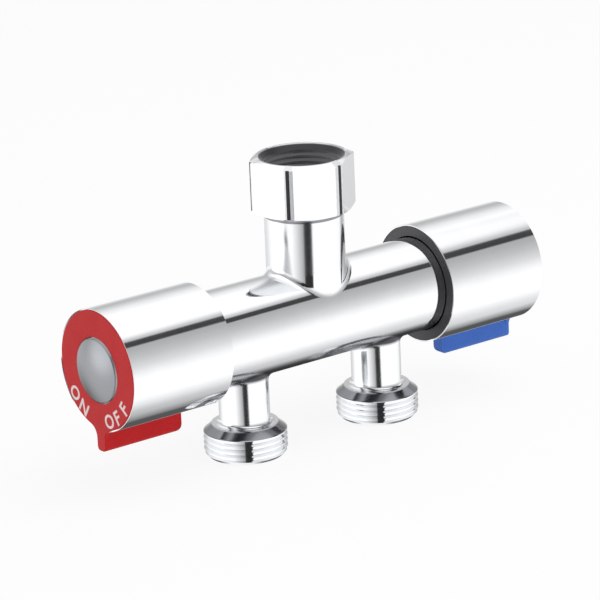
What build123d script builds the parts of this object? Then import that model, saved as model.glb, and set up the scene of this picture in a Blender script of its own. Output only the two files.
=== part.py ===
from build123d import *
import math
import os

# Washing machine tap: an inlet with a swivel nut on top, a quarter turn ceramic valve in each
# end of a tube body, and two hose outlets below. All lengths are in millimetres.
# The body lies along X, the inlet points up along Z, and Z = 0 is the plane of the outlet ends.
# Pieces are drawn about the body's axis and lifted by axis_height when they are written.

# Clearances
running_gap = 0.05
seated_gap = 0.10
loose_gap = 0.30

# G 3/4 pipe thread of the inlet nut and both outlets
thread_radius = 13.22
thread_depth = 1.16
thread_pitch = 1.814
thread_flat = 0.30
thread_land = 0.30

# Tee body
body_radius = 15.25
body_end_offset = 23.3
body_end_chamfer = 0.6
valve_thread_depth = 0.88
ring_seat_depth = 2.6

# Inlet neck and its tail inside the nut
neck_radius = 12.6
neck_height = 33.9
neck_fillet = 2.5
neck_edge_chamfer = 0.5
tail_radius = 10.0
inlet_bore_radius = 7.5

# Outlet necks
outlet_x = 26.7
outlet_neck_radius = 8.05
outlet_bore_radius = 5.5
outlet_mouth_chamfer = 1.2
outlet_fillet = 2.0
outlet_flare = 1.5
outlet_ledge_radius = 10.6
outlet_cone_height = 2.4
outlet_ledge_step = 0.4
outlet_rim_drop = 32.0
outlet_rim_round = 0.25
outlet_thread_turns = 4
outlet_end_land = 0.45
outlet_end_chamfer = 1.3

# Inlet nut, its retaining ring and its washer
nut_wall = 1.1
nut_turn = 6.2
nut_corner_round = 3.4
nut_face_width = 0.6
nut_face_slope = 26.0
nut_mouth_lead = 0.68
nut_thread_turns = 4
nut_collar_thickness = 3.0
retaining_ring_thickness = 1.2
retaining_ring_overhang = 1.4
retaining_groove_depth = 1.2
retaining_ring_opening = 3.0
tail_end_land = 1.2
washer_thickness = 2.5

# Valve cartridge
seal_thickness = 2.5
disc_thickness = 3.0
disc_radius = 8.3
disc_core_radius = 1.9
port_radius = 6.4
port_angle = 80.0
disc_ear_width = 3.0
tang_width = 3.0
tang_depth = 1.2
tang_length = 12.0
carrier_thickness = 3.0
cage_wall = 0.7
cage_window_width = 11.0
cage_thread_gap = 0.5
cage_lead = 2.3
bonnet_flange_lip = 1.2
bonnet_flange_thickness = 2.5
bonnet_ring_section = 0.86
bonnet_hex_across_flats = 21.0
bonnet_hex_length = 5.5
bonnet_snout_wall = 2.45
bonnet_snout_length = 2.0

# Spindle
spindle_radius = 4.0
ring_groove_depth = 1.1
ring_groove_width = 1.4
ring_groove_x = (12.0, 17.0)
clip_thickness = 0.8
clip_groove_depth = 0.8
clip_overhang = 1.4
clip_opening = 4.0
clip_zone = 1.5
square_width = 5.6
square_length = 7.5
tapped_hole_depth = 10.0

# Handle
shell_clearance = 2.85
shell_wall = 1.2
shell_mouth_wall = 0.35
shell_mouth_depth = 2.0
shell_rim_chamfer = 0.1
shell_edge_chamfer = 0.05
shell_end_wall = 2.0
shell_lip = 0.15
shell_overlap = 6.0
hub_sleeve_wall = 1.0
hub_sleeve_setback = 0.15
hub_lip_length = 3.0
hub_lip_clearance = 0.35
hub_boss_radius = 8.0
hub_floor = 2.2
hub_recess_depth = 6.5
hub_recess_wall = 1.5
hub_flange = 2.5
hub_rib_count = 6
hub_rib_thickness = 1.4
hub_rib_start = 4.2
screw_radius = 1.6
screw_length = 9.0
screw_head_radius = 3.6
screw_head_height = 2.4
screw_recess_width = 0.9
screw_recess_depth = 1.2

# Lever plate and button cap
plate_thickness = 1.65
plate_gap = 0.25
plate_edge_round = 0.25
plate_spigot_length = 1.6
plate_spigot_wall = 1.5
fin_thickness = 4.2
fin_drop = 6.7
fin_length = 29.0
fin_corner_round = 2.6
fin_tip_round = 1.4
fin_blend_share = 0.6
button_radius = 10.1
button_gap = 0.4
button_rim_height = 0.45
button_dome_height = 2.0
button_edge_round = 0.5
button_skirt_length = 5.5
button_skirt_wall = 1.2

# Places that follow from the sizes above, outward from the middle of the tap
groove_run = (thread_pitch - 2 * thread_flat) / 2
thread_root_radius = thread_radius - thread_depth
outlet_ledge_drop = outlet_rim_drop - outlet_cone_height
outlet_thread_start = outlet_rim_drop + thread_land
outlet_thread_end = outlet_thread_start + outlet_thread_turns * thread_pitch
axis_height = outlet_thread_end + outlet_end_land

window_span = disc_thickness + carrier_thickness
seat_x = outlet_x - seal_thickness - disc_thickness - window_span / 2
fixed_disc_x = seat_x + seal_thickness
moving_disc_x = fixed_disc_x + disc_thickness
carrier_x = moving_disc_x + disc_thickness
carrier_end_x = carrier_x + carrier_thickness
pocket_end_x = carrier_end_x + loose_gap
pocket_radius = disc_radius + loose_gap
cage_radius = pocket_radius + cage_wall
chamber_radius = port_radius + seated_gap
seal_bore_radius = chamber_radius + loose_gap
valve_bore_radius = cage_radius + loose_gap
valve_thread_radius = valve_bore_radius + valve_thread_depth
valve_thread_x = outlet_x + outlet_bore_radius + cage_lead
body_end_x = outlet_x + body_end_offset
bonnet_thread_radius = valve_thread_radius - seated_gap
bonnet_ring_radius = bonnet_thread_radius + running_gap + bonnet_ring_section
ring_seat_radius = bonnet_ring_radius + bonnet_ring_section + running_gap
bonnet_flange_radius = ring_seat_radius + bonnet_flange_lip
flange_end_x = body_end_x + bonnet_flange_thickness
bonnet_hex_end_x = flange_end_x + bonnet_hex_length
snout_end_x = bonnet_hex_end_x + bonnet_snout_length
square_x = snout_end_x + clip_zone
spindle_end_x = square_x + square_length
spindle_bore_radius = spindle_radius + running_gap
bonnet_snout_radius = spindle_bore_radius + bonnet_snout_wall
clip_radius = spindle_radius + clip_overhang
tapped_hole_radius = screw_radius + running_gap

hub_start_x = square_x + loose_gap
hub_floor_x = spindle_end_x + loose_gap
hub_recess_x = hub_floor_x + hub_floor
hub_end_x = hub_recess_x + hub_recess_depth
plate_seat_x = hub_end_x + shell_end_wall
shell_rim_x = body_end_x - shell_overlap
shell_bore_radius = body_radius + shell_clearance
shell_radius = shell_bore_radius + shell_wall
shell_seat_radius = shell_radius - shell_mouth_wall
shell_seat_x = shell_rim_x + shell_mouth_depth
hub_sleeve_radius = shell_bore_radius - seated_gap
hub_collar_radius = shell_seat_radius - seated_gap
plate_end_x = plate_seat_x + plate_thickness
plate_radius = shell_radius - shell_lip - plate_gap
fin_reach = shell_radius + fin_drop
fin_blend_radius = fin_blend_share * fin_drop
plate_hole_radius = button_radius + button_gap
spigot_radius = plate_hole_radius + plate_spigot_wall
skirt_radius = button_radius - button_gap - seated_gap
hub_recess_radius = skirt_radius + seated_gap
button_rim_x = plate_end_x + button_rim_height
button_base_x = plate_seat_x + seated_gap

nut_mouth_radius = thread_radius + nut_mouth_lead
nut_face_radius = nut_mouth_radius + nut_face_width
nut_across_flats = 2 * (nut_mouth_radius + nut_wall)
nut_relief_radius = thread_radius + seated_gap
retaining_ring_radius = tail_radius + retaining_ring_overhang
washer_bore_radius = inlet_bore_radius + loose_gap
nut_bottom = neck_height + loose_gap
collar_top = nut_bottom + nut_collar_thickness
ring_bottom = collar_top + loose_gap
ring_top = ring_bottom + retaining_ring_thickness
tail_top = ring_top + tail_end_land
washer_top = tail_top + washer_thickness
nut_thread_bottom = washer_top + seated_gap
nut_thread_top = nut_thread_bottom + nut_thread_turns * thread_pitch + thread_land
nut_top = nut_thread_top + nut_mouth_radius - thread_root_radius


def turned_about_x(outline):
    """Solid turned about the body's axis from closed (x, radius) points."""
    return revolve(make_face(Polyline(*outline, close=True)), Axis.X)


def turned_about_z(outline):
    """Solid turned about the upright axis from closed (radius, z) points."""
    points = [(radius, 0, height) for radius, height in outline]
    return revolve(make_face(Polyline(*points, close=True)), Axis.Z)


def tube_along_x(start, end, outer, inner):
    return turned_about_x([(start, inner), (end, inner), (end, outer), (start, outer)])


def tube_along_z(bottom, top, outer, inner):
    return turned_about_z([(inner, bottom), (outer, bottom), (outer, top), (inner, top)])


def rod_along_x(start, end, radius):
    return turned_about_x([(start, 0), (end, 0), (end, radius), (start, radius)])


def rod_along_z(bottom, top, radius):
    return turned_about_z([(0, bottom), (radius, bottom), (radius, top), (0, top)])


def block(start, end, width, height):
    """Box from start to end along X, centred on the body's axis."""
    return Pos((start + end) / 2, 0, 0) * Box(end - start, width, height)


def prism_along_x(sketch, start, end):
    """Sketch drawn as (Y, Z) and drawn out from start to end along X."""
    return extrude(Plane.YZ.offset(start) * sketch, end - start)


def sectors(start, end, outer, angle):
    """Two opposite sectors about the body's axis, above and below it."""
    reach = 2 * outer
    half = math.radians(angle / 2)
    corner = (reach * math.sin(half), reach * math.cos(half))
    wedge = Polyline((0, 0), corner, (-corner[0], corner[1]), close=True)
    upper = prism_along_x(make_face(wedge), start, end)
    both = upper + Rot(180, 0, 0) * upper
    return both & rod_along_x(start, end, outer)


def thread_outline(start, turns, crest, root, step):
    """Points of ridges along an axis: a groove and a crest for each turn, from a land."""
    points = [(crest, start)]
    for turn in range(turns):
        place = start + step * (thread_land + turn * thread_pitch)
        points.append((crest, place))
        points.append((root, place + step * groove_run))
        points.append((root, place + step * (groove_run + thread_flat)))
        points.append((crest, place + step * (2 * groove_run + thread_flat)))
    points.append((crest, start + step * (thread_land + turns * thread_pitch)))
    return points


def outlet_outside():
    """Outside of one outlet: plain neck, flare, ledge, cone and threaded end with its chamfer."""
    ledge = -outlet_ledge_drop
    flare_radius = outlet_neck_radius + outlet_flare
    flare_mid = outlet_flare * (1 - math.sqrt(0.5))
    thread = thread_outline(
        -outlet_rim_drop, outlet_thread_turns, thread_radius, thread_root_radius, -1
    )
    below = [(flare_radius, ledge)]
    below.append((outlet_ledge_radius, ledge))
    below.append((outlet_ledge_radius, ledge - outlet_ledge_step))
    below.append((thread_radius - outlet_rim_round, -outlet_rim_drop + outlet_rim_round))
    below.extend(thread)
    below.append((thread_radius, -axis_height))
    below.append((0, -axis_height))
    below.append((0, 0))
    below.append((outlet_neck_radius, 0))
    below.append((outlet_neck_radius, ledge + outlet_flare))
    straight = Polyline(*[(radius, 0, height) for radius, height in below])
    flare = ThreePointArc(
        (outlet_neck_radius, 0, ledge + outlet_flare),
        (outlet_neck_radius + flare_mid, 0, ledge + flare_mid),
        (flare_radius, 0, ledge),
    )
    end_cone = turned_about_z(
        [
            (0, 0),
            (thread_radius, 0),
            (thread_radius, outlet_end_chamfer - axis_height),
            (thread_radius - outlet_end_chamfer, -axis_height),
            (0, -axis_height),
        ]
    )
    return revolve(make_face([straight, flare]), Axis.Z) & end_cone


def join_edges(body):
    """Edges where one round tube runs into another."""
    edges = body.edges().filter_by(GeomType.CIRCLE, reverse=True)
    return edges.filter_by(GeomType.LINE, reverse=True)


def tee_body():
    tube = Rot(0, 90, 0) * Cylinder(body_radius, 2 * body_end_x)
    tube = chamfer(tube.edges().filter_by(GeomType.CIRCLE), body_end_chamfer)
    neck = rod_along_z(0, neck_height, neck_radius)
    neck = chamfer(neck.edges().filter_by(GeomType.CIRCLE).sort_by(Axis.Z)[-1], neck_edge_chamfer)
    body = fillet(join_edges(tube + neck), neck_fillet)
    for side in (-1, 1):
        body += Pos(side * outlet_x, 0, 0) * outlet_outside()
    body = fillet(join_edges(body).filter_by(lambda edge: edge.center().Z < 0), outlet_fillet)

    groove_radius = tail_radius - retaining_groove_depth
    tail = rod_along_z(neck_height, tail_top, tail_radius)
    tail -= tube_along_z(ring_bottom, ring_top, tail_radius + loose_gap, groove_radius)
    body += tail
    body -= rod_along_z(0, tail_top, inlet_bore_radius)
    body -= rod_along_x(-seat_x, seat_x, chamber_radius)

    ring_seat_x = body_end_x - ring_seat_depth
    valve_bore = turned_about_x(
        [
            (seat_x, 0),
            (seat_x, valve_bore_radius),
            (valve_thread_x, valve_bore_radius),
            (valve_thread_x, valve_thread_radius),
            (ring_seat_x, valve_thread_radius),
            (ring_seat_x, ring_seat_radius),
            (body_end_x, ring_seat_radius),
            (body_end_x, 0),
        ]
    )
    mouth_radius = outlet_bore_radius + outlet_mouth_chamfer
    outlet_bore = turned_about_z(
        [
            (0, 0),
            (outlet_bore_radius, 0),
            (outlet_bore_radius, outlet_mouth_chamfer - axis_height),
            (mouth_radius, -axis_height),
            (0, -axis_height),
        ]
    )
    for side in (0, 180):
        body -= Rot(0, 0, side) * valve_bore
        body -= Rot(0, 0, side) * (Pos(outlet_x, 0, 0) * outlet_bore)
    return body


def inlet_nut():
    height = nut_top - nut_bottom
    hexagon = RegularPolygon(nut_across_flats / 2, 6, major_radius=False, rotation=nut_turn + 30)
    hexagon = fillet(hexagon.vertices(), nut_corner_round)
    prism = Pos(0, 0, nut_bottom) * extrude(hexagon, height)
    corner_radius = nut_across_flats / math.sqrt(3)
    drop = (corner_radius - nut_face_radius) * math.tan(math.radians(nut_face_slope))
    envelope = turned_about_z(
        [
            (0, nut_bottom),
            (nut_face_radius, nut_bottom),
            (corner_radius, nut_bottom + drop),
            (corner_radius, nut_top - drop),
            (nut_face_radius, nut_top),
            (0, nut_top),
        ]
    )
    thread = thread_outline(nut_thread_top, nut_thread_turns, thread_root_radius, thread_radius, -1)
    collar_hole = tail_radius + loose_gap
    inside = [(0, nut_top), (nut_mouth_radius, nut_top)]
    inside.extend(thread)
    inside.append((nut_relief_radius, nut_thread_bottom))
    inside.append((nut_relief_radius, collar_top))
    inside.append((collar_hole, collar_top))
    inside.append((collar_hole, nut_bottom))
    inside.append((0, nut_bottom))
    return (prism & envelope) - turned_about_z(inside)


def nut_retaining_ring():
    inner = tail_radius - retaining_groove_depth + running_gap
    ring = tube_along_z(
        ring_bottom + running_gap, ring_top - running_gap, retaining_ring_radius, inner
    )
    cutter = Box(retaining_ring_opening, tail_radius, 3 * retaining_ring_thickness)
    return ring - Pos(0, tail_radius, ring_bottom) * cutter


def inlet_washer():
    outer = thread_root_radius - loose_gap
    return tube_along_z(tail_top, washer_top, outer, washer_bore_radius)


def seat_seal():
    return tube_along_x(seat_x, fixed_disc_x, cage_radius, seal_bore_radius)


def fixed_disc():
    disc = rod_along_x(fixed_disc_x, moving_disc_x, disc_radius)
    ears = block(fixed_disc_x, moving_disc_x, 2 * (cage_radius - seated_gap), disc_ear_width)
    outside = rod_along_x(fixed_disc_x, moving_disc_x, cage_radius - seated_gap)
    disc += ears & outside
    ports = sectors(fixed_disc_x, moving_disc_x, port_radius, port_angle)
    return disc - (ports - rod_along_x(fixed_disc_x, moving_disc_x, disc_core_radius))


def moving_disc():
    disc = rod_along_x(moving_disc_x, carrier_x, disc_radius)
    notches = Rot(90, 0, 0) * sectors(moving_disc_x, carrier_x, 2 * disc_radius, port_angle)
    disc -= notches - rod_along_x(moving_disc_x, carrier_x, 2 * disc_core_radius)
    return disc - block(carrier_x - tang_depth, carrier_x, tang_width, 2 * disc_radius)


def valve_bonnet():
    cage_end_x = valve_thread_x + cage_thread_gap
    bonnet = turned_about_x(
        [
            (fixed_disc_x, pocket_radius),
            (fixed_disc_x, cage_radius),
            (cage_end_x, cage_radius),
            (cage_end_x, bonnet_thread_radius),
            (body_end_x, bonnet_thread_radius),
            (body_end_x, bonnet_flange_radius),
            (flange_end_x, bonnet_flange_radius),
            (flange_end_x, bonnet_snout_radius),
            (snout_end_x, bonnet_snout_radius),
            (snout_end_x, spindle_bore_radius),
            (pocket_end_x, spindle_bore_radius),
            (pocket_end_x, pocket_radius),
        ]
    )
    hexagon = RegularPolygon(bonnet_hex_across_flats / 2, 6, major_radius=False)
    hexagon -= Circle(spindle_bore_radius)
    bonnet += prism_along_x(hexagon, flange_end_x, bonnet_hex_end_x)
    bonnet -= block(moving_disc_x, carrier_end_x, cage_window_width, 3 * cage_radius)
    ear_slot = disc_ear_width + 2 * seated_gap
    return bonnet - block(fixed_disc_x, moving_disc_x, 3 * cage_radius, ear_slot)


def bonnet_o_ring():
    place = body_end_x - ring_seat_depth / 2
    return Pos(place, 0, 0) * (Rot(0, 90, 0) * Torus(bonnet_ring_radius, bonnet_ring_section))


def spindle():
    groove_radius = spindle_radius - ring_groove_depth
    clip_groove_radius = spindle_radius - clip_groove_depth
    cutter_radius = spindle_radius + loose_gap
    shaft = rod_along_x(carrier_x, carrier_end_x, disc_radius)
    shaft += rod_along_x(carrier_end_x, square_x, spindle_radius)
    for offset in ring_groove_x:
        start = pocket_end_x + offset
        shaft -= tube_along_x(start, start + ring_groove_width, cutter_radius, groove_radius)
    clip_x = snout_end_x + running_gap
    clip_groove_end = clip_x + clip_thickness + 2 * running_gap
    shaft -= tube_along_x(clip_x, clip_groove_end, cutter_radius, clip_groove_radius)
    shaft += block(square_x, spindle_end_x, square_width, square_width)
    tang_end = carrier_x - tang_depth + seated_gap
    shaft += block(tang_end, carrier_x, tang_width - 2 * seated_gap, tang_length)
    return shaft - rod_along_x(spindle_end_x - tapped_hole_depth, spindle_end_x, tapped_hole_radius)


def spindle_o_rings():
    section = (ring_groove_depth - running_gap) / 2
    middle = spindle_radius - section
    rings = []
    for offset in ring_groove_x:
        place = pocket_end_x + offset + ring_groove_width / 2
        rings.append(Pos(place, 0, 0) * (Rot(0, 90, 0) * Torus(middle, section)))
    return rings[0] + rings[1]


def spindle_clip():
    start = snout_end_x + 2 * running_gap
    inner = spindle_radius - clip_groove_depth + running_gap
    clip = tube_along_x(start, start + clip_thickness, clip_radius, inner)
    opening = Pos(start, 0, clip_radius) * Box(3 * clip_thickness, clip_opening, clip_radius)
    return clip - opening


def plate_outline(margin):
    """The plate's outline as (Y, Z), its fin pointing down, widened all round by a margin."""
    half_width = fin_thickness / 2 + margin
    reach = fin_reach + margin
    fin_top = shell_radius / 2
    pointer = Pos(0, -(reach + fin_top) / 2) * Rectangle(2 * half_width, reach - fin_top)
    pointer = fillet(pointer.vertices().sort_by(Axis.Y)[:2], fin_tip_round + margin)
    outline = Circle(plate_radius + margin) + pointer
    corners = outline.vertices().filter_by_position(Axis.Y, -plate_radius - margin, -fin_top)
    return fillet(corners, fin_blend_radius - margin)


def handle_shell():
    hole = spigot_radius + seated_gap
    shell = turned_about_x(
        [
            (shell_rim_x, shell_seat_radius),
            (shell_rim_x, shell_radius - shell_rim_chamfer),
            (shell_rim_x + shell_rim_chamfer, shell_radius),
            (plate_end_x - shell_edge_chamfer, shell_radius),
            (plate_end_x, shell_radius - shell_edge_chamfer),
            (plate_end_x, hole),
            (hub_end_x, hole),
            (hub_end_x, shell_bore_radius),
            (shell_seat_x, shell_bore_radius),
            (shell_seat_x, shell_seat_radius),
        ]
    )
    return shell - prism_along_x(plate_outline(plate_gap), plate_seat_x, plate_end_x)


def handle_hub():
    recess_outer = hub_recess_radius + hub_recess_wall
    sleeve_inner = hub_sleeve_radius - hub_sleeve_wall
    sleeve_start = shell_rim_x + hub_sleeve_setback
    lip_radius = body_radius + hub_lip_clearance
    lip_end_x = sleeve_start + hub_lip_length
    collar_end_x = shell_seat_x - seated_gap
    flange_x = hub_end_x - hub_flange
    hub = turned_about_x(
        [
            (hub_start_x, 0),
            (hub_start_x, hub_boss_radius),
            (hub_floor_x, hub_boss_radius),
            (hub_floor_x, recess_outer),
            (flange_x, recess_outer),
            (flange_x, sleeve_inner),
            (lip_end_x, sleeve_inner),
            (lip_end_x, lip_radius),
            (sleeve_start, lip_radius),
            (sleeve_start, hub_collar_radius),
            (collar_end_x, hub_collar_radius),
            (collar_end_x, hub_sleeve_radius),
            (hub_end_x, hub_sleeve_radius),
            (hub_end_x, hub_recess_radius),
            (hub_recess_x, hub_recess_radius),
            (hub_recess_x, 0),
        ]
    )
    rib_inner = hub_boss_radius - hub_sleeve_wall
    rib_outer = sleeve_inner + hub_sleeve_wall / 2
    rib_start = hub_start_x + hub_rib_start
    rib_size = (flange_x - rib_start, hub_rib_thickness, rib_outer - rib_inner)
    rib = Pos((rib_start + flange_x) / 2, 0, (rib_inner + rib_outer) / 2) * Box(*rib_size)
    recess = rod_along_x(hub_recess_x, hub_end_x, hub_recess_radius)
    for index in range(hub_rib_count):
        hub += (Rot(index * 360 / hub_rib_count, 0, 0) * rib) - recess
    socket_width = square_width + 2 * running_gap
    hub -= block(hub_start_x, hub_floor_x, socket_width, socket_width)
    return hub - rod_along_x(hub_floor_x, hub_recess_x, screw_radius + loose_gap)


def handle_screw():
    head_end_x = hub_recess_x + screw_head_height
    head = rod_along_x(hub_recess_x, head_end_x, screw_head_radius)
    head = fillet(head.edges().filter_by(GeomType.CIRCLE).sort_by(Axis.X)[-1], screw_recess_width)
    recess_start = head_end_x - screw_recess_depth
    head -= block(recess_start, head_end_x, screw_recess_width, screw_head_radius)
    head -= block(recess_start, head_end_x, screw_head_radius, screw_recess_width)
    return head + rod_along_x(hub_recess_x - screw_length, hub_recess_x, screw_radius)


def lever_plate():
    plate = prism_along_x(plate_outline(0), plate_seat_x, plate_end_x)
    front_edges = plate.faces().sort_by(Axis.X)[-1].edges()
    plate = fillet(front_edges, plate_edge_round)

    fin_start = plate_end_x - fin_length
    fin_top = shell_radius / 2
    side_points = [(fin_start, -fin_top), (fin_start, -fin_reach), (plate_seat_x, -fin_reach)]
    side_points.append((plate_seat_x, -fin_top))
    side = make_face(Polyline(*[(x, 0, z) for x, z in side_points], close=True))
    fin = extrude(side, fin_thickness / 2, both=True)
    lower_edges = fin.edges().filter_by(Axis.Y).sort_by(Axis.Z)[:2]
    fin = fillet(lower_edges.sort_by(Axis.X)[0], fin_corner_round)
    fin &= prism_along_x(plate_outline(0), fin_start, plate_seat_x)
    fin -= rod_along_x(fin_start, plate_seat_x, shell_radius + seated_gap)
    fin &= block(fin_start, plate_seat_x, fin_thickness, 2 * fin_reach)

    spigot_start = plate_seat_x - plate_spigot_length
    spigot = tube_along_x(spigot_start, plate_seat_x, spigot_radius, plate_hole_radius)
    plate -= rod_along_x(plate_seat_x, plate_end_x, plate_hole_radius)
    return plate + fin + spigot


def button_cap():
    apex_x = button_rim_x + button_dome_height
    dome_radius = (button_radius**2 + button_dome_height**2) / (2 * button_dome_height)
    dome = Pos(apex_x - dome_radius, 0, 0) * (Rot(0, 0, 90) * Sphere(dome_radius))
    cap = dome & rod_along_x(button_base_x, apex_x, button_radius)
    rim = cap.edges().filter_by(lambda edge: edge.is_closed).sort_by(Axis.X)[-1]
    cap = fillet(rim, button_edge_round)
    skirt_end = button_base_x - button_skirt_length
    return cap + tube_along_x(skirt_end, button_base_x, skirt_radius, skirt_radius - button_skirt_wall)


middle_pieces = {
    "tee_body": tee_body(),
    "inlet_nut": inlet_nut(),
    "nut_retaining_ring": nut_retaining_ring(),
    "inlet_washer": inlet_washer(),
}
side_pieces = {
    "seat_seal": seat_seal(),
    "fixed_disc": fixed_disc(),
    "moving_disc": moving_disc(),
    "valve_bonnet": valve_bonnet(),
    "bonnet_o_ring": bonnet_o_ring(),
    "spindle": spindle(),
    "spindle_o_rings": spindle_o_rings(),
    "spindle_clip": spindle_clip(),
    "handle_shell": handle_shell(),
    "handle_hub": handle_hub(),
    "handle_screw": handle_screw(),
    "lever_plate": lever_plate(),
    "button_cap": button_cap(),
}

# The cold side is drawn at +X, and the hot side is the same set turned half round
os.makedirs("parts", exist_ok=True)
lift = Pos(0, 0, axis_height)
for name, piece in middle_pieces.items():
    export_step(lift * piece, f"parts/{name}.step")
for side_name, turn in (("cold", 0), ("hot", 180)):
    for name, piece in side_pieces.items():
        export_step(lift * (Rot(0, 0, turn) * piece), f"parts/{side_name}_{name}.step")
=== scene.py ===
import math

import bpy
from mathutils import Matrix, Vector


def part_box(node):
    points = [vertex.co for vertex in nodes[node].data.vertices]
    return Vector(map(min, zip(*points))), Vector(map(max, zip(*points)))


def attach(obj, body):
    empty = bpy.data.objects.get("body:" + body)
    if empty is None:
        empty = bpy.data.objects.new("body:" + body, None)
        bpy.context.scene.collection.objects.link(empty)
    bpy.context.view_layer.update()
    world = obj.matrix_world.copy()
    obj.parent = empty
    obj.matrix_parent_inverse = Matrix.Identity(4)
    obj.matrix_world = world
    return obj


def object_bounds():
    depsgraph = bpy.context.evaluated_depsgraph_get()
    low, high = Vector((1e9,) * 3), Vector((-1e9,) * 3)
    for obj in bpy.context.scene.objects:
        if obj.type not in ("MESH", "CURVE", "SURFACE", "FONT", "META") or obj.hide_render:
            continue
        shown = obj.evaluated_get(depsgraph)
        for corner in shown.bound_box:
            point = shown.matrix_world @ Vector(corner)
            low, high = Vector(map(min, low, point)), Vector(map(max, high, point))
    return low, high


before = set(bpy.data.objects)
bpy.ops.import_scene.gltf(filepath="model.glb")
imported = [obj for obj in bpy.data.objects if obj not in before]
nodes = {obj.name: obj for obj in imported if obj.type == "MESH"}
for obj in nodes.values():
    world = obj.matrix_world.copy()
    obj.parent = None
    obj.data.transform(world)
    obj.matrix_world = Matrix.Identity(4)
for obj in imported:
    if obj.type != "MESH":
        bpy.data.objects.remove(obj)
cad_low, cad_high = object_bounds()

# Tee body
# One brass casting: the tube that holds both valves, the inlet neck on top and the two hose
# outlets below. It is ground, polished to a mirror and chrome plated, threads included.

CHROME = "E6E8EA"
CHROME_BRIGHT = "EDEEF0"
# The painted dark reflection on the turned bands, then the painted shade on the underside
CONE_AND_LAND_PAINTED_DARK = "8E8F94"
UNDERSIDE_PAINTED_SHADE = "4E4F52"
HAIRLINE_WIDTH = 0.00012
HAIRLINES_ALONG_TUBE = (0.04, 1.0, 1.0)
POLISH_WAVE = 0.004
BUFFED = (0.035, 0.075)
# What each finish adds to the roughness of the buffed plate
GROUND_SOFTER = 0.24
TURNED_SOFTER = 0.1
NECK_SOFTER = 0.09
# Where one finish gives way to the next, in metres above the outlets' ends
CONE_FOOT = (0.0080, 0.0081)
CONE_TOP = (0.0106, 0.0107)
OUTLET_NECK_FOOT = (0.0100, 0.0104)
OUTLET_NECK_TOP = (0.0248, 0.0258)
TUBE_FLOOR = (0.0285, 0.0295)
INLET_NECK_FOOT = (0.0553, 0.0563)
NUT_LAND = (0.0727, 0.0728)
# The same, in metres from an outlet's upright axis, and how far out along the body that axis is
CONE_INNER_EDGE = (0.0105, 0.0106)
OUTLET_X = 0.0267
# The upward part of the surface's direction, from fully ground to fully buffed
FACING_DOWN = (-0.78, -0.6)
# What a noise mostly stays within, and the two ways to fade over a band
NOISE_SPAN = (0.35, 0.65)
RISE = (0.0, 1.0)
FALL = (1.0, 0.0)
ALL_HEIGHTS_AS_ONE = (1.0, 1.0, 0.0)
# The sockets of a Mix node that blends colours; its other sockets have the same names
FACTOR, TONE_A, TONE_B, BLEND = 0, 6, 7, 2


def linear(srgb_hex):
    """The linear red, green, blue and alpha of an sRGB colour written as six hex digits."""
    channels = []
    for place in (0, 2, 4):
        value = int(srgb_hex[place : place + 2], 16) / 255
        low = value <= 0.04045
        channels.append(value / 12.92 if low else ((value + 0.055) / 1.055) ** 2.4)
    return (*channels, 1.0)


def add_node(tree, kind, inputs=(), **settings):
    """Adds a shader node with its settings and gives back its outputs.

    Inputs come in the node's own order, or by name. Each is a value, an sRGB colour as six
    hex digits, or another node's output, which is linked.
    """
    node = tree.nodes.new("ShaderNode" + kind)
    for name, value in settings.items():
        setattr(node, name, value)
    for name, value in inputs.items() if isinstance(inputs, dict) else enumerate(inputs):
        if isinstance(value, bpy.types.NodeSocket):
            tree.links.new(value, node.inputs[name])
        else:
            value = linear(value) if isinstance(value, str) else value
            node.inputs[name].default_value = value
    return node.outputs


def new_finish(name):
    """An empty node material, its tree and the piece's own coordinates in metres."""
    material = bpy.data.materials.new(name)
    material.use_nodes = True
    tree = material.node_tree
    tree.nodes.clear()
    return material, tree, add_node(tree, "TexCoord")["Object"]


def coat_piece(name, finish):
    """Gives a CAD piece its finish."""
    for slot in nodes[name].material_slots:
        slot.material = finish


# Bright chrome plate on polished brass: a near mirror. Polishing leaves a long faint wave and
# hairlines that only show as a slightly softer edge on each reflection. The hairlines are drawn
# coarser than real.
polished_chrome, tree, place = new_finish("bright_chrome_plate")
along = add_node(tree, "Mapping", {"Vector": place, "Scale": HAIRLINES_ALONG_TUBE})[0]
hairlines = add_node(tree, "TexNoise", {"Vector": along, "Scale": 1 / HAIRLINE_WIDTH})[0]
wave = add_node(tree, "TexNoise", {"Vector": place, "Scale": 1 / POLISH_WAVE})[0]
plate = {FACTOR: wave, TONE_A: CHROME, TONE_B: CHROME_BRIGHT}
plate = add_node(tree, "Mix", plate, data_type="RGBA")[BLEND]

# The underside is ground but not buffed, so it mirrors softly. Its plate there is also painted
# dark, as painted shade on the side facing down.
facing = add_node(tree, "NewGeometry")["Normal"]
facing_up = add_node(tree, "SeparateXYZ", (facing,))["Z"]
height = add_node(tree, "SeparateXYZ", (place,))["Z"]
faces_down = add_node(tree, "MapRange", (facing_up, *FACING_DOWN, *FALL))[0]
under_tube = add_node(tree, "MapRange", (height, *TUBE_FLOOR, *FALL))[0]
over_outlets = add_node(tree, "MapRange", (height, *OUTLET_NECK_TOP, *RISE))[0]
underside = add_node(tree, "Math", (faces_down, under_tube), operation="MAXIMUM")[0]
ground_and_shaded = add_node(tree, "Math", (underside, over_outlets), operation="MULTIPLY")[0]
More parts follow.
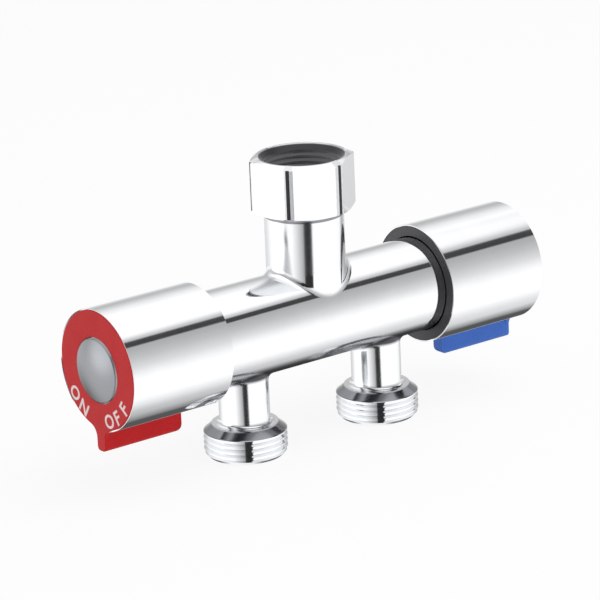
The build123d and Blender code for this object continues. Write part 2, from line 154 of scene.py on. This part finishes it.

# The cone above each outlet's thread and the land under the nut are turned but not polished,
# so they mirror more softly. Their plate is painted darker as painted dark reflections, on the
# land the painted reflection of the nut's shaded underside
both_sides = add_node(tree, "VectorMath", (place,), operation="ABSOLUTE")["Vector"]
to_outlet = {"Vector": both_sides, "Location": (-OUTLET_X, 0.0, 0.0)}
to_outlet["Scale"] = ALL_HEIGHTS_AS_ONE
across = add_node(tree, "Mapping", to_outlet)[0]
from_outlet = add_node(tree, "VectorMath", (across,), operation="LENGTH")["Value"]
cone = add_node(tree, "MapRange", (from_outlet, *CONE_INNER_EDGE, *RISE))[0]
over_foot = add_node(tree, "MapRange", (height, *CONE_FOOT, *RISE))[0]
under_top = add_node(tree, "MapRange", (height, *CONE_TOP, *FALL))[0]
for bound in (over_foot, under_top):
    cone = add_node(tree, "Math", (cone, bound), operation="MULTIPLY")[0]
land = add_node(tree, "MapRange", (height, *NUT_LAND, *RISE))[0]
turned_and_painted_dark = add_node(tree, "Math", (cone, land), operation="MAXIMUM")[0]

# The necks are polished by hand, which leaves them a little softer than the tube
over_thread = add_node(tree, "MapRange", (height, *OUTLET_NECK_FOOT, *RISE))[0]
below_tube = add_node(tree, "MapRange", (height, *OUTLET_NECK_TOP, *FALL))[0]
on_outlets = add_node(tree, "Math", (over_thread, below_tube), operation="MULTIPLY")[0]
on_inlet = add_node(tree, "MapRange", (height, *INLET_NECK_FOOT, *RISE))[0]
necks = add_node(tree, "Math", (on_outlets, on_inlet), operation="MAXIMUM")[0]

softness = add_node(tree, "MapRange", (hairlines, *NOISE_SPAN, *BUFFED))[0]
for where, more in ((ground_and_shaded, GROUND_SOFTER), (turned_and_painted_dark, TURNED_SOFTER), (necks, NECK_SOFTER)):
    softness = add_node(tree, "Math", (where, more, softness), operation="MULTIPLY_ADD")[0]
# Painted shade on the underside, and painted dark reflections on the turned bands
for where, tone in ((ground_and_shaded, UNDERSIDE_PAINTED_SHADE), (turned_and_painted_dark, CONE_AND_LAND_PAINTED_DARK)):
    plate = {FACTOR: where, TONE_A: plate, TONE_B: tone}
    plate = add_node(tree, "Mix", plate, data_type="RGBA")[BLEND]
ripple = add_node(tree, "Bump", {"Height": wave, "Distance": 0.0000015})[0]
mirror = {"Base Color": plate, "Metallic": 1.0, "Roughness": softness, "Normal": ripple}
add_node(tree, "OutputMaterial", (add_node(tree, "BsdfPrincipled", mirror)[0],))
coat_piece("tee_body", polished_chrome)


# Nut retaining ring and inlet washer
# The split spring ring of stainless steel snaps into the groove of the inlet tail and holds
# the nut. The flat washer of black rubber lies on the tail's end and seals the supply pipe.

GRIT = 0.0004
RUBBER_BLOOM = 0.003

# Rolled stainless steel: grey, with the even grain of the rolls, drawn coarser than real.
spring_steel, tree, place = new_finish("stainless_spring_steel")
rolled = add_node(tree, "TexNoise", {"Vector": place, "Scale": 1 / GRIT, "Detail": 4.0})[0]
steel = {FACTOR: rolled, TONE_A: "A9A9A8", TONE_B: "BEBEBC"}
steel = add_node(tree, "Mix", steel, data_type="RGBA")[BLEND]
satin = add_node(tree, "MapRange", (rolled, *NOISE_SPAN, 0.24, 0.36))[0]
metal = {"Base Color": steel, "Metallic": 1.0, "Roughness": satin}
add_node(tree, "OutputMaterial", (add_node(tree, "BsdfPrincipled", metal)[0],))
coat_piece("nut_retaining_ring", spring_steel)

# Moulded nitrile rubber: matt black, with the grain of the mould, drawn coarser than real, and
# a grey bloom.
seal_rubber, tree, place = new_finish("moulded_nitrile_rubber")
grain = add_node(tree, "TexNoise", {"Vector": place, "Scale": 1 / GRIT, "Detail": 5.0})[0]
bloom = add_node(tree, "TexNoise", {"Vector": place, "Scale": 1 / RUBBER_BLOOM})[0]
black = {FACTOR: bloom, TONE_A: "161617", TONE_B: "242425"}
black = add_node(tree, "Mix", black, data_type="RGBA")[BLEND]
matt = add_node(tree, "MapRange", (bloom, *NOISE_SPAN, 0.62, 0.8))[0]
moulded = add_node(tree, "Bump", {"Height": grain, "Distance": 0.00002})[0]
rubber = {"Base Color": black, "Roughness": matt, "Normal": moulded}
add_node(tree, "OutputMaterial", (add_node(tree, "BsdfPrincipled", rubber)[0],))
coat_piece("inlet_washer", seal_rubber)

# Chrome doesn't mirror these two, because it doesn't mirror the nut that hides them either
for piece in ("nut_retaining_ring", "inlet_washer"):
    nodes[piece].visible_glossy = False


# Inlet nut
# A hexagon nut forged in brass, with its corners turned off at both ends. It is chrome plated
# outside. The plating hardly reaches down the mouth, so its thread is dull, and the bore is
# painted dark as painted shade of the deep mouth.

# Metres from the nut's upright axis, and metres above the outlets' ends
MOUTH_EDGE = (0.0135, 0.0139)
CORNER_RADIUS = (0.0163, 0.0165)
LEAD_IN = (0.0893, 0.0902)
# Angles round the nut: the first corner, half a side, and distances from a corner
CORNER_TURN = math.radians(36.2)
HALF_SIDE = math.radians(30)
# How near a corner the painted reflection line lies
PAINTED_CORNER_LINE = (math.radians(1.9), math.radians(2.2))
ROUND_EDGE = (math.radians(4.5), math.radians(6.0))
ROUND_SOFTNESS = (0.6, 0.045)
# Painted shade inside the mouth: the bore, and darker still the lead-in
MOUTH_PAINTED_SHADE = "505054"
LEAD_IN_PAINTED_SHADE = "303033"
# The colour of the painted reflection down each corner
CORNER_PAINTED_REFLECTION = "48484B"
MOUTH_METAL = 0.35
MOUTH_SOFTNESS = 0.36

# The same mirror plate as on the body, but the bore and its thread are dull, and painted dark as
# painted shade, darkest at the lead-in. The distance from the nut's upright axis says which is
# which.
nut_chrome, tree, place = new_finish("chrome_plated_hexagon_nut")
across = add_node(tree, "Mapping", {"Vector": place, "Scale": ALL_HEIGHTS_AS_ONE})[0]
from_axis = add_node(tree, "VectorMath", (across,), operation="LENGTH")["Value"]
plated = add_node(tree, "MapRange", (from_axis, *MOUTH_EDGE, *RISE))[0]
wave = add_node(tree, "TexNoise", {"Vector": place, "Scale": 1 / POLISH_WAVE})[0]
outside = {FACTOR: wave, TONE_A: CHROME, TONE_B: CHROME_BRIGHT}
outside = add_node(tree, "Mix", outside, data_type="RGBA")[BLEND]
sides = add_node(tree, "SeparateXYZ", (place,))
# Painted shade inside the mouth, darkest at the lead-in
at_lead_in = add_node(tree, "MapRange", (sides["Z"], *LEAD_IN, *RISE))[0]
inside = {FACTOR: at_lead_in, TONE_A: MOUTH_PAINTED_SHADE, TONE_B: LEAD_IN_PAINTED_SHADE}
inside = add_node(tree, "Mix", inside, data_type="RGBA")[BLEND]

# A dark line is painted down each corner as a painted reflection of the dark studio, and the
# wheel that polishes the flats leaves the round of the corner satin
bearing = add_node(tree, "Math", (sides["Y"], sides["X"]), operation="ARCTAN2")[0]
from_first = add_node(tree, "Math", (bearing, CORNER_TURN), operation="SUBTRACT")[0]
off_corner = add_node(tree, "Math", (from_first, HALF_SIDE), operation="PINGPONG")[0]
on_corner = add_node(tree, "MapRange", (off_corner, *PAINTED_CORNER_LINE, *FALL))[0]
furthest_out = add_node(tree, "MapRange", (from_axis, *CORNER_RADIUS, *RISE))[0]
painted_corner_reflection = add_node(tree, "Math", (on_corner, furthest_out), operation="MULTIPLY")[0]
outside = {FACTOR: painted_corner_reflection, TONE_A: outside, TONE_B: CORNER_PAINTED_REFLECTION}
outside = add_node(tree, "Mix", outside, data_type="RGBA")[BLEND]
flats = add_node(tree, "MapRange", (off_corner, *ROUND_EDGE, *ROUND_SOFTNESS))[0]

tone = {FACTOR: plated, TONE_A: inside, TONE_B: outside}
tone = add_node(tree, "Mix", tone, data_type="RGBA")[BLEND]
metal = add_node(tree, "MapRange", (plated, *RISE, MOUTH_METAL, 1.0))[0]
softness = add_node(tree, "MapRange", (plated, *RISE, MOUTH_SOFTNESS, flats))[0]
ripple = add_node(tree, "Bump", {"Height": wave, "Distance": 0.0000012})[0]
mirror = {"Base Color": tone, "Metallic": metal, "Roughness": softness, "Normal": ripple}
add_node(tree, "OutputMaterial", (add_node(tree, "BsdfPrincipled", mirror)[0],))
coat_piece("inlet_nut", nut_chrome)
# Chrome doesn't mirror the nut, which keeps the body under it clean
nodes["inlet_nut"].visible_glossy = False


# Valve cartridges
# One in each end of the body. A turned brass bonnet screws in against a rubber seat seal and
# holds two lapped ceramic discs. A brass spindle, sealed by O-rings and kept in by a spring
# clip, turns the outer disc through a quarter turn.

TOOL_MARK = 0.0003
TOOL_MARKS_ROUND_AXIS = (1.0, 0.02, 0.02)
TARNISH = 0.004
CERAMIC_SPECK = 0.0005

# Turned brass: fine rings left by the tool, drawn a little coarser than real so that they show.
turned_brass, tree, place = new_finish("turned_brass")
around = add_node(tree, "Mapping", {"Vector": place, "Scale": TOOL_MARKS_ROUND_AXIS})[0]
tool_marks = add_node(tree, "TexNoise", {"Vector": around, "Scale": 1 / TOOL_MARK})[0]
tarnish = add_node(tree, "TexNoise", {"Vector": place, "Scale": 1 / TARNISH, "Detail": 3.0})[0]
brass = {FACTOR: tarnish, TONE_A: "C7A35C", TONE_B: "B58D49"}
brass = add_node(tree, "Mix", brass, data_type="RGBA")[BLEND]
softness = add_node(tree, "MapRange", (tool_marks, *NOISE_SPAN, 0.2, 0.38))[0]
rings = add_node(tree, "Bump", {"Height": tool_marks, "Distance": 0.000006})[0]
metal = {"Base Color": brass, "Metallic": 1.0, "Roughness": softness, "Normal": rings}
add_node(tree, "OutputMaterial", (add_node(tree, "BsdfPrincipled", metal)[0],))

# Alumina, lapped flat: a dense off-white ceramic with faint specks.
lapped_ceramic, tree, place = new_finish("lapped_alumina")
specks = {"Vector": place, "Scale": 1 / CERAMIC_SPECK, "Detail": 4.0}
specks = add_node(tree, "TexNoise", specks)[0]
speckled = add_node(tree, "MapRange", (specks, *NOISE_SPAN, *RISE))[0]
white = {FACTOR: speckled, TONE_A: "EEECE4", TONE_B: "DFDCD2"}
white = add_node(tree, "Mix", white, data_type="RGBA")[BLEND]
softness = add_node(tree, "MapRange", (specks, *NOISE_SPAN, 0.14, 0.24))[0]
ceramic = {"Base Color": white, "Roughness": softness}
add_node(tree, "OutputMaterial", (add_node(tree, "BsdfPrincipled", ceramic)[0],))

CARTRIDGE_FINISHES = {
    "seat_seal": seal_rubber,
    "fixed_disc": lapped_ceramic,
    "moving_disc": lapped_ceramic,
    "valve_bonnet": turned_brass,
    "bonnet_o_ring": seal_rubber,
    "spindle": turned_brass,
    "spindle_o_rings": seal_rubber,
    "spindle_clip": spring_steel,
}
SIDES = ("hot", "cold")
for side in SIDES:
    for piece, finish in CARTRIDGE_FINISHES.items():
        coat_piece(f"{side}_{piece}", finish)
        # Chrome doesn't mirror the cartridge, which the cup hides
        nodes[f"{side}_{piece}"].visible_glossy = False


# Handle hubs, screws and cups
# A black moulded hub lines each handle and sits on the spindle's square, held by a steel
# screw. The drawn brass cup is pressed over it and slides round the end of the body.

SPARK_GRAIN = 0.00025
HAIRLINES_ROUND_CUP = (1.0, 0.05, 0.05)

# Acetal moulding, black, with a spark-eroded grain that takes the gloss off. The grain is drawn
# coarser than real so that it shows. Its black is also painted shade for the gap in the cup's
# mouth.
black_acetal_and_mouth_shade, tree, place = new_finish("black_moulded_acetal_and_mouth_shade")
grain = {"Vector": place, "Scale": 1 / SPARK_GRAIN, "Detail": 4.0}
grain = add_node(tree, "TexNoise", grain)[0]
black = {FACTOR: grain, TONE_A: "37373B", TONE_B: "414146"}
black = add_node(tree, "Mix", black, data_type="RGBA")[BLEND]
softness = add_node(tree, "MapRange", (grain, *NOISE_SPAN, 0.38, 0.52))[0]
eroded = add_node(tree, "Bump", {"Height": grain, "Distance": 0.000008})[0]
plastic = {"Base Color": black, "Roughness": softness, "Normal": eroded}
add_node(tree, "OutputMaterial", (add_node(tree, "BsdfPrincipled", plastic)[0],))

# Chrome plate on a drawn and polished cup. Its hairlines run round it, with the buffing wheel.
cup_chrome, tree, place = new_finish("chrome_plated_drawn_cup")
around = add_node(tree, "Mapping", {"Vector": place, "Scale": HAIRLINES_ROUND_CUP})[0]
hairlines = add_node(tree, "TexNoise", {"Vector": around, "Scale": 1 / HAIRLINE_WIDTH})[0]
wave = add_node(tree, "TexNoise", {"Vector": place, "Scale": 1 / (2 * POLISH_WAVE)})[0]
plate = {FACTOR: wave, TONE_A: CHROME, TONE_B: CHROME_BRIGHT}
plate = add_node(tree, "Mix", plate, data_type="RGBA")[BLEND]
softness = add_node(tree, "MapRange", (hairlines, *NOISE_SPAN, 0.04, 0.085))[0]
ripple = add_node(tree, "Bump", {"Height": wave, "Distance": 0.000002})[0]
mirror = {"Base Color": plate, "Metallic": 1.0, "Roughness": softness, "Normal": ripple}
add_node(tree, "OutputMaterial", (add_node(tree, "BsdfPrincipled", mirror)[0],))

for side in SIDES:
    # The hub's black also serves as painted shade in the cup's mouth, round the body
    coat_piece(f"{side}_handle_hub", black_acetal_and_mouth_shade)
    coat_piece(f"{side}_handle_screw", spring_steel)
    coat_piece(f"{side}_handle_shell", cup_chrome)
# Chrome doesn't mirror the hot cup and its hub, which keeps the neck and the outlets clean
for piece in ("hot_handle_shell", "hot_handle_hub"):
    nodes[piece].visible_glossy = False


# Lever plates
# The end of each handle is a plate with its lever fin, moulded in one piece of ABS: red on the
# hot side, blue on the cold side. ON and OFF are printed on it beside the fin.

FLOW_MARK = 0.006
ORANGE_PEEL = 0.0008
ABS_IOR = 1.53
ABS_SPECULAR = 0.15
LETTER_HEIGHT = 0.0045
LETTER_STEM = 0.022
INK_THICKNESS = 0.00006
INK_PINHOLE = 0.0003
LETTER_CIRCLE = 0.0160
MERGE_DISTANCE = 0.000001
# Degrees round the plate from the fin, towards the open position
PRINTED_WORDS = {
    "on": (("O", 51.0), ("N", 30.5)),
    "off": (("O", -18.4), ("F", -36.2), ("F", -55.4)),
}
PLATE_TONES = {
    "hot": ("red_moulded_abs", "CC141A", "C21016"),
    "cold": ("blue_moulded_abs", "4676D2", "3F6DC8"),
}

# Glossy ABS: one even colour, a trace of flow marks and the mould's fine orange peel.
for side, (name, colour, deep_colour) in PLATE_TONES.items():
    moulded_abs, tree, place = new_finish(name)
    flow = add_node(tree, "TexNoise", {"Vector": place, "Scale": 1 / FLOW_MARK, "Detail": 3.0})[0]
    peel = add_node(tree, "TexNoise", {"Vector": place, "Scale": 1 / ORANGE_PEEL})[0]
    dyed = {FACTOR: flow, TONE_A: colour, TONE_B: deep_colour}
    dyed = add_node(tree, "Mix", dyed, data_type="RGBA")[BLEND]
    softness = add_node(tree, "MapRange", (flow, *NOISE_SPAN, 0.24, 0.34))[0]
    dimpled = add_node(tree, "Bump", {"Height": peel, "Distance": 0.000006})[0]
    plastic = {"Base Color": dyed, "Roughness": softness, "Normal": dimpled}
    plastic |= {"IOR": ABS_IOR, "Specular IOR Level": ABS_SPECULAR}
    add_node(tree, "OutputMaterial", (add_node(tree, "BsdfPrincipled", plastic)[0],))
    coat_piece(f"{side}_lever_plate", moulded_abs)
    # Chrome doesn't mirror the plate, which keeps the cups free of its colour
    nodes[f"{side}_lever_plate"].visible_glossy = False

# Pad-printed ink: off-white, tinted a little by the plastic under it.
printed_ink, tree, place = new_finish("off_white_pad_print")
pinholes = {"Vector": place, "Scale": 1 / INK_PINHOLE, "Detail": 3.0}
pinholes = add_node(tree, "TexNoise", pinholes)[0]
thinned = add_node(tree, "MapRange", (pinholes, *NOISE_SPAN, *RISE))[0]
off_white = {FACTOR: thinned, TONE_A: "F3E4E3", TONE_B: "E9D3D2"}
off_white = add_node(tree, "Mix", off_white, data_type="RGBA")[BLEND]
softness = add_node(tree, "MapRange", (pinholes, *NOISE_SPAN, 0.35, 0.5))[0]
ink = {"Base Color": off_white, "Roughness": softness}
add_node(tree, "OutputMaterial", (add_node(tree, "BsdfPrincipled", ink)[0],))

cup_low, cup_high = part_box("hot_handle_shell")
axis_height = (cup_low.z + cup_high.z) / 2


def only(*chosen):
    """Selects these objects and nothing else, with the first one active."""
    bpy.ops.object.select_all(action="DESELECT")
    for piece in chosen:
        piece.select_set(True)
    bpy.context.view_layer.objects.active = chosen[0]


def letter(character, angle, plate_face):
    """One printed letter on the hot plate, with its top towards the plate's middle."""
    bpy.ops.object.text_add(location=(0, 0, 0))
    text = bpy.context.object
    text.data.body = character
    text.data.offset = LETTER_STEM
    text.data.extrude = 0.5
    text.data.resolution_u = 6
    only(text)
    bpy.ops.object.convert(target="MESH")
    shape = bpy.context.object
    corners = [vertex.co.copy() for vertex in shape.data.vertices]
    low = Vector(min(corner[axis] for corner in corners) for axis in range(3))
    high = Vector(max(corner[axis] for corner in corners) for axis in range(3))
    size = LETTER_HEIGHT / (high.y - low.y)
    centred = Matrix.Translation(-(low + high) / 2)
    upright = Matrix.Diagonal((size, size, INK_THICKNESS, 1)) @ centred
    turn = math.radians(angle)
    up = Vector((0, -math.sin(turn), math.cos(turn)))
    out = Vector((-1, 0, 0))
    across = up.cross(out)
    spot = Vector((plate_face, 0, axis_height)) - LETTER_CIRCLE * up
    stand = Matrix.Translation(spot) @ Matrix((across, up, out)).transposed().to_4x4()
    shape.data.transform(stand @ upright)
    return shape


def printed_word(side, word):
    """A word of the print as one mesh, riding on its handle."""
    rim_low, rim_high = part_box(f"{side}_lever_plate")
    face = rim_low.x if side == "hot" else -rim_high.x
    only(*[letter(character, angle, face) for character, angle in PRINTED_WORDS[word]])
    bpy.ops.object.join()
    print_mesh = bpy.context.object
    if side == "cold":
        print_mesh.data.transform(Matrix.Rotation(math.pi, 4, "Z"))
    bpy.ops.object.mode_set(mode="EDIT")
    bpy.ops.mesh.select_all(action="SELECT")
    bpy.ops.mesh.remove_doubles(threshold=MERGE_DISTANCE)
    bpy.ops.mesh.normals_make_consistent(inside=False)
    bpy.ops.object.mode_set(mode="OBJECT")
    print_mesh.name = f"{side}_print_{word}"
    print_mesh.data.materials.clear()
    print_mesh.data.materials.append(printed_ink)
    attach(print_mesh, f"{side}_handle")


for side in SIDES:
    for word in PRINTED_WORDS:
        printed_word(side, word)


# Button caps
# A domed cap snaps into the middle of each plate and covers the screw. It is moulded in ABS
# and sprayed with a satin silver lacquer.

LACQUER_FLAKE = 0.00015

# Silver lacquer: metal flakes in a satin coat, drawn coarser than real so that they show.
silver_lacquer, tree, place = new_finish("satin_silver_lacquer")
flakes = {"Vector": place, "Scale": 1 / LACQUER_FLAKE, "Detail": 3.0}
flakes = add_node(tree, "TexNoise", flakes)[0]
silver = {FACTOR: flakes, TONE_A: "888A8E", TONE_B: "97999C"}
silver = add_node(tree, "Mix", silver, data_type="RGBA")[BLEND]
softness = add_node(tree, "MapRange", (flakes, *NOISE_SPAN, 0.26, 0.34))[0]
sprayed = add_node(tree, "Bump", {"Height": flakes, "Distance": 0.000004})[0]
lacquer = {"Base Color": silver, "Metallic": 1.0, "Roughness": softness, "Normal": sprayed}
add_node(tree, "OutputMaterial", (add_node(tree, "BsdfPrincipled", lacquer)[0],))
for side in SIDES:
    coat_piece(f"{side}_button_cap", silver_lacquer)


# Floor
# A pale matt sweep just under the outlets' ends. To the camera it fades to the white of the
# background and keeps a soft shadow of the tap.

FLOOR_HALF = 6.0
FLOOR_DROP = 0.0001
FLOOR_FADE = 0.86
FLOOR_TONE = "F4F4F4"
WHITE = "FFFFFF"

bpy.ops.object.select_all(action="DESELECT")
bpy.ops.mesh.primitive_plane_add(size=2 * FLOOR_HALF, location=(0, 0, 0))
floor = bpy.context.object
floor.name = "studio_floor"
floor.data.transform(Matrix.Translation((0, 0, cad_low.z - FLOOR_DROP)))
floor.visible_glossy = False

pale_floor, tree, _ = new_finish("pale_studio_floor")
is_seen = add_node(tree, "LightPath")["Is Camera Ray"]
faded = add_node(tree, "Math", (is_seen, FLOOR_FADE), operation="MULTIPLY")[0]
matt = add_node(tree, "BsdfDiffuse", {"Color": FLOOR_TONE})[0]
glow = add_node(tree, "Emission", {"Color": WHITE, "Strength": 1.0})[0]
add_node(tree, "OutputMaterial", (add_node(tree, "MixShader", (faded, matt, glow))[0],))
floor.data.materials.append(pale_floor)


# Light tent
# The tap stands in a white tent under a broad top light. The gap between the top light and the
# front wall, and the slit for the camera, are what draw the dark lines on the chrome.

SOFT_LEVEL = 0.72
TENT_LEVEL = 1.28
# The second lamp, behind the wall on the left, which lights the hot button from the side: its
# direction, how near to that the wall begins to glow and glows fully, and its brightness at both
SIDE_LAMP = (-0.83, 0.52, 0.2)
SIDE_LAMP_GLOW = (0.86, 0.97, 1.0, 2.2)
# Elevations in degrees, each with the brightness of the wall there
FRONT_WALL = (
    (-90, 0.10),
    (-60, 0.40),
    (-54, 0.64),
    (-52, 0.72),
    (-47.7, 0.83),
    (-43, 0.93),
    (-38, 1.0),
    (-14, 0.98),
    (-4, 0.86),
    (7, 0.67),
    (21, 0.50),
    (33, 0.40),
    (40, 0.40),
    (47, 0.55),
    (51, 0.93),
    (54, 1.0),
    (90, 1.0),
)
BACK_WALL = (
    (-90, 0.08),
    (-50, 0.10),
    (-29, 0.09),
    (-20, 0.55),
    (-12, 0.85),
    (-5, 0.85),
    (4, 0.62),
    (14, 0.48),
    (23.5, 0.62),
    (38.5, 0.85),
    (44, 0.95),
    (48, 1.0),
    (90, 1.0),
)
# Where a wall or a light begins and ends, in degrees or in parts of the direction, and the
# brightness at both
FRONT_FADE = (0.35, 0.0, 0.0, 1.0)
LEFT_FADE = (0.0, -0.5, 0.0, 1.0)
UNDER_TOP_LIGHT = (22.0, 34.0, 1.0, 0.0)
LEFT_OF_SLIT = (-166.0, -122.0, 1.0, 0.2)
RIGHT_OF_SLIT = (-107.0, -106.0, 0.0, 1.0)
GAP_DEPTH = (0.1, 0.35, 0.3, 1.0)
TABLE_LEFT = (0.3, 0.45, 1.0, 0.0)
TABLE_LOW = (-60.0, -45.0, 1.0, 0.0)
TABLE_TONE = "F4F4F4"
# Dark bands: the middle, half the width and the soft edge in degrees, and the brightness in it
CAMERA_SLIT = (-119.0, 12.0, 2.5, 0.14)
RIGHT_CORNER = (28.0, 62.0, 50.0, 0.85)
LIGHT_GAP = (41.0, 4.6, 1.6, 0.12)

world = bpy.data.worlds.new("light_tent")
bpy.context.scene.world = world
world.use_nodes = True
tree = world.node_tree
tree.nodes.clear()


def wall_tone(elevation, stops):
    """The brightness of a tent wall at each elevation in degrees."""
    place = add_node(tree, "MapRange", (elevation, -90.0, 90.0, *RISE))[0]
    tone = add_node(tree, "ValToRGB", (place,))["Color"]
    elements = tone.node.color_ramp.elements
    for degrees, _ in stops[1:-1]:
        elements.new((degrees + 90) / 180)
    for element, (degrees, level) in zip(elements, stops):
        element.position = (degrees + 90) / 180
        element.color = (level, level, level, 1.0)
    return tone


def dark_band(angle, centre, half_width, edge, level):
    """A multiplier that falls from one to level within half_width degrees of centre."""
    off_centre = add_node(tree, "Math", (angle, centre), operation="SUBTRACT")[0]
    wrapped = add_node(tree, "Math", (off_centre, 180.0, -180.0), operation="WRAP")[0]
    away = add_node(tree, "Math", (wrapped,), operation="ABSOLUTE")[0]
    return add_node(tree, "MapRange", (away, half_width - edge, half_width, level, 1.0))[0]


def only_there(multiplier, where):
    """A multiplier that takes hold only where the second value is one."""
    change = add_node(tree, "Math", (multiplier, 1.0), operation="SUBTRACT")[0]
    change = add_node(tree, "Math", (change, where), operation="MULTIPLY")[0]
    return add_node(tree, "Math", (change, 1.0), operation="ADD")[0]


direction = add_node(tree, "TexCoord")["Generated"]
parts = add_node(tree, "SeparateXYZ", (direction,))
rise = add_node(tree, "Math", (parts["Z"],), operation="ARCSINE")[0]
elevation = add_node(tree, "Math", (rise,), operation="DEGREES")[0]
turn = add_node(tree, "Math", (parts["Y"], parts["X"]), operation="ARCTAN2")[0]
heading = add_node(tree, "Math", (turn,), operation="DEGREES")[0]

# The front wall reaches round the left; a little light from under the table on the left keeps
# the outlets' ends bright
from_front = add_node(tree, "MapRange", (parts["Y"], *FRONT_FADE))[0]
from_left = add_node(tree, "MapRange", (parts["X"], *LEFT_FADE))[0]
frontness = add_node(tree, "Math", (from_front, from_left), operation="MAXIMUM")[0]
back, front = wall_tone(elevation, BACK_WALL), wall_tone(elevation, FRONT_WALL)
walls = {FACTOR: frontness, TONE_A: back, TONE_B: front}
walls = add_node(tree, "Mix", walls, data_type="RGBA")[BLEND]
on_left = add_node(tree, "MapRange", (parts["X"], *TABLE_LEFT))[0]
low_down = add_node(tree, "MapRange", (elevation, *TABLE_LOW))[0]
under_table = add_node(tree, "Math", (on_left, low_down), operation="MULTIPLY")[0]
walls = {FACTOR: under_table, TONE_A: walls, TONE_B: TABLE_TONE}
walls = add_node(tree, "Mix", walls, data_type="RGBA")[BLEND]

# The shade of the camera's slit and of the right corner, below the top light
left_of_slit = add_node(tree, "MapRange", (heading, *LEFT_OF_SLIT))[0]
right_of_slit = add_node(tree, "MapRange", (heading, *RIGHT_OF_SLIT))[0]
shade = add_node(tree, "Math", (left_of_slit, right_of_slit), operation="MAXIMUM")[0]
for band in (dark_band(heading, *CAMERA_SLIT), dark_band(heading, *RIGHT_CORNER)):
    shade = add_node(tree, "Math", (shade, band), operation="MULTIPLY")[0]
below_light = add_node(tree, "MapRange", (elevation, *UNDER_TOP_LIGHT))[0]
shade = only_there(shade, below_light)

# The gap between the top light and the front wall, deepest on the right, and the side lamp
on_right = add_node(tree, "MapRange", (parts["X"], *GAP_DEPTH))[0]
gap_place = add_node(tree, "Math", (on_right, from_front), operation="MULTIPLY")[0]
gap = only_there(dark_band(elevation, *LIGHT_GAP), gap_place)
near_lamp = add_node(tree, "VectorMath", (direction, SIDE_LAMP), operation="DOT_PRODUCT")
side_glow = add_node(tree, "MapRange", (near_lamp["Value"], *SIDE_LAMP_GLOW))[0]
for change in (gap, side_glow):
    shade = add_node(tree, "Math", (shade, change), operation="MULTIPLY")[0]
tent = add_node(tree, "VectorMath", {0: walls, "Scale": shade}, operation="SCALE")["Vector"]

# Chrome mirrors the tent, the camera sees plain white, and all else is lit by an even soft light
path = add_node(tree, "LightPath")
mirrored = add_node(tree, "Background", (tent, TENT_LEVEL))[0]
soft = add_node(tree, "Background", (WHITE, SOFT_LEVEL))[0]
seen = add_node(tree, "Background", (WHITE, 1.0))[0]
light = add_node(tree, "MixShader", (path["Is Glossy Ray"], soft, mirrored))[0]
light = add_node(tree, "MixShader", (path["Is Camera Ray"], light, seen))[0]
add_node(tree, "OutputWorld", (light,))

# The broad top light itself, which gives the plastics their shape and the floor its shadow.
TOP_LIGHT_PLACE = Vector((0.25, -0.35, 0.95))
TOP_LIGHT_SIDE = 0.8
TOP_LIGHT_POWER = 4.0

top_light = bpy.data.lights.new("top_light", "AREA")
top_light.shape = "SQUARE"
top_light.size = TOP_LIGHT_SIDE
top_light.energy = TOP_LIGHT_POWER
top_lamp = bpy.data.objects.new("top_light", top_light)
bpy.context.scene.collection.objects.link(top_lamp)
top_lamp.location = TOP_LIGHT_PLACE
tap_middle = (cad_low + cad_high) / 2
top_lamp.rotation_euler = (TOP_LIGHT_PLACE - tap_middle).to_track_quat("Z", "Y").to_euler()
top_lamp.visible_glossy = False
top_lamp.visible_camera = False


# Camera
# A long lens from the left front, a little above the tap and turned slightly about its own
# axis. It aims just above the body's axis, a little left of the inlet.

CAMERA_AZIMUTH = math.radians(-37.46)
CAMERA_ELEVATION = math.radians(17.28)
CAMERA_ROLL = math.radians(2.39)
CAMERA_DISTANCE = 1.23467
CAMERA_LEFT = 0.00294
CAMERA_ABOVE_AXIS = 0.00485
CAMERA_LENS = 235.18

camera_data = bpy.data.cameras.new("camera")
camera_data.lens = CAMERA_LENS
camera_data.sensor_width = 36.0
camera_data.clip_start = 0.05
camera_data.clip_end = 30.0
camera = bpy.data.objects.new("camera", camera_data)
bpy.context.scene.collection.objects.link(camera)
back = Vector(
    (
        math.sin(CAMERA_AZIMUTH) * math.cos(CAMERA_ELEVATION),
        -math.cos(CAMERA_AZIMUTH) * math.cos(CAMERA_ELEVATION),
        math.sin(CAMERA_ELEVATION),
    )
)
level_right = Vector((math.cos(CAMERA_AZIMUTH), math.sin(CAMERA_AZIMUTH), 0))
level_up = back.cross(level_right)
right = math.cos(CAMERA_ROLL) * level_right - math.sin(CAMERA_ROLL) * level_up
up = math.cos(CAMERA_ROLL) * level_up + math.sin(CAMERA_ROLL) * level_right
facing_tap = Matrix((right, up, back)).transposed().to_4x4()
aim = Vector((-CAMERA_LEFT, 0.0, axis_height + CAMERA_ABOVE_AXIS))
camera.matrix_world = Matrix.Translation(aim + CAMERA_DISTANCE * back) @ facing_tap
bpy.context.scene.camera = camera
bpy.context.scene.view_settings.view_transform = "Standard"
